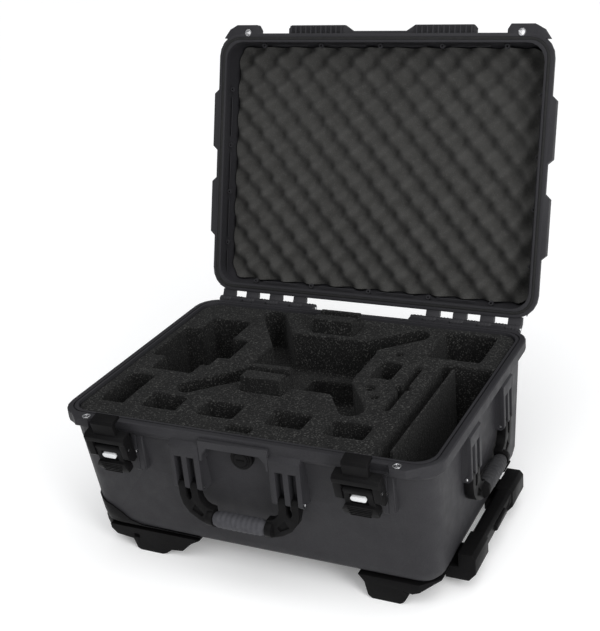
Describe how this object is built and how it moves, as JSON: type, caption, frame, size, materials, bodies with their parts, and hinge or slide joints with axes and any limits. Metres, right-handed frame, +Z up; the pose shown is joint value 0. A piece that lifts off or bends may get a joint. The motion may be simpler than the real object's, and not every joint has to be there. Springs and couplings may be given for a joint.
{
  "type": "wheeled drone carrying case",
  "caption": "Wheeled hard case open on its feet, with a cut foam insert for a quadcopter drone, egg-crate lid foam, draw latches, carrying handles and a telescopic pull handle",
  "frame": {"origin": "middle of the bottom of the bounding box, with the lid open", "axes": "+Z up, +X to the pull-handle end, -Y to the front wall with the latches"},
  "size_m": [0.569, 0.639, 0.6493],
  "materials": {
    "case_resin": "satin, finely textured, graphite grey",
    "black_plastic": "satin moulded black",
    "grey_grip": "ribbed grey overmould",
    "dark_grip": "ribbed dark overmould",
    "seal_rubber": "matt black",
    "tyre_rubber": "matt black polyurethane",
    "steel": "polished stainless",
    "tube_aluminium": "satin anodised",
    "cut_foam": "black closed-cell foam, cut faces finely pitted",
    "lid_egg_foam": "charcoal open-cell egg-crate foam",
    "lock_plastic": "light grey satin"
  },
  "bodies": {
    "base": {"base_shell": "case_resin", "pressure_valve_body": "black_plastic", "pressure_valve_cap": "black_plastic", "base_foam_insert": "cut_foam", "base_foam_lower_layer": "cut_foam", "base_foam_floor_pad": "cut_foam", "foam_block_front": "cut_foam", "foam_block_rear": "cut_foam", "compartment_divider": "cut_foam", "pull_handle_channel": "black_plastic", "base_padlock_eyelet_left": "steel", "base_padlock_eyelet_right": "steel", "hinge_pin_left": "steel", "hinge_pin_right": "steel", "latch_pin_left": "steel", "latch_pin_right": "steel", "wheel_housing_front": "black_plastic", "wheel_housing_rear": "black_plastic", "foot_front": "black_plastic", "foot_rear": "black_plastic", "wheel_axle_front": "steel", "wheel_axle_rear": "steel", "pull_outer_tube_front": "tube_aluminium", "pull_outer_tube_rear": "tube_aluminium", "front_handle_pin_a": "steel", "front_handle_pin_b": "steel", "side_handle_pin_a": "steel", "side_handle_pin_b": "steel"},
    "lid": {"lid_shell": "case_resin", "lid_seal": "seal_rubber", "lid_foam": "lid_egg_foam", "lid_padlock_eyelet_left": "steel", "lid_padlock_eyelet_right": "steel"},
    "pull_middle": {"pull_middle_tube_front": "tube_aluminium", "pull_middle_tube_rear": "tube_aluminium"},
    "pull_handle": {"pull_inner_tube_front": "tube_aluminium", "pull_inner_tube_rear": "tube_aluminium", "pull_grip": "black_plastic"},
    "pull_button_body": {"pull_button": "black_plastic"},
    "front_handle": {"front_handle_frame": "black_plastic", "front_handle_grip": "grey_grip"},
    "side_handle": {"side_handle_frame": "black_plastic", "side_handle_grip": "dark_grip"},
    "latch_left": {"latch_claw_left": "black_plastic", "latch_lever_pin_left": "steel"},
    "lever_left": {"latch_lever_left": "black_plastic"},
    "lock_left": {"latch_lock_left": "lock_plastic"},
    "latch_right": {"latch_claw_right": "black_plastic", "latch_lever_pin_right": "steel"},
    "lever_right": {"latch_lever_right": "black_plastic"},
    "lock_right": {"latch_lock_right": "lock_plastic"},
    "wheel_front": {"wheel_hub_front": "black_plastic", "wheel_tyre_front": "tyre_rubber"},
    "wheel_rear": {"wheel_hub_rear": "black_plastic", "wheel_tyre_rear": "tyre_rubber"}
  },
  "joints": [
    {"name": "lid_hinge", "type": "hinge", "parent": "base", "child": "lid", "pos_m": [-0.0035, 0.14156, 0.226], "axis": [1, 0, 0], "range_deg": [0, 106.5]},
    {"name": "front_handle_swing", "type": "hinge", "parent": "base", "child": "front_handle", "pos_m": [-0.0035, -0.28854, 0.152], "axis": [-1, 0, 0], "range_deg": [0, 95]},
    {"name": "side_handle_swing", "type": "hinge", "parent": "base", "child": "side_handle", "pos_m": [0.266, -0.07504, 0.152], "axis": [0, -1, 0], "range_deg": [0, 95]},
    {"name": "pull_middle_slide", "type": "slide", "parent": "base", "child": "pull_middle", "axis": [1, 0, 0], "range_m": [0, 0.23]},
    {"name": "pull_handle_slide", "type": "slide", "parent": "pull_middle", "child": "pull_handle", "axis": [1, 0, 0], "range_m": [0, 0.23]},
    {"name": "pull_button_press", "type": "slide", "parent": "pull_handle", "child": "pull_button_body", "axis": [-1, 0, 0], "range_m": [0, 0.004], "stiffness_N_per_m": 200},
    {"name": "latch_left_swing", "type": "hinge", "parent": "base", "child": "latch_left", "pos_m": [-0.1835, -0.28584, 0.188], "axis": [1, 0, 0], "range_deg": [-14, 15]},
    {"name": "latch_left_lever", "type": "hinge", "parent": "latch_left", "child": "lever_left", "pos_m": [-0.1835, -0.30747, 0.20116], "axis": [-1, 0, 0], "range_deg": [0, 100]},
    {"name": "latch_left_lock_slide", "type": "slide", "parent": "lever_left", "child": "lock_left", "axis": [0, 0.2419, -0.9703], "range_m": [0, 0.005]},
    {"name": "latch_right_swing", "type": "hinge", "parent": "base", "child": "latch_right", "pos_m": [0.1765, -0.28584, 0.188], "axis": [1, 0, 0], "range_deg": [-14, 15]},
    {"name": "latch_right_lever", "type": "hinge", "parent": "latch_right", "child": "lever_right", "pos_m": [0.1765, -0.30747, 0.20116], "axis": [-1, 0, 0], "range_deg": [0, 100]},
    {"name": "latch_right_lock_slide", "type": "slide", "parent": "lever_right", "child": "lock_right", "axis": [0, 0.2419, -0.9703], "range_m": [0, 0.005]},
    {"name": "wheel_front_spin", "type": "hinge", "parent": "base", "child": "wheel_front", "pos_m": [-0.2295, -0.22704, 0.04], "axis": [0, 1, 0], "continuous": true},
    {"name": "wheel_rear_spin", "type": "hinge", "parent": "base", "child": "wheel_rear", "pos_m": [-0.2295, 0.08196, 0.04], "axis": [0, 1, 0], "continuous": true}
  ]
}
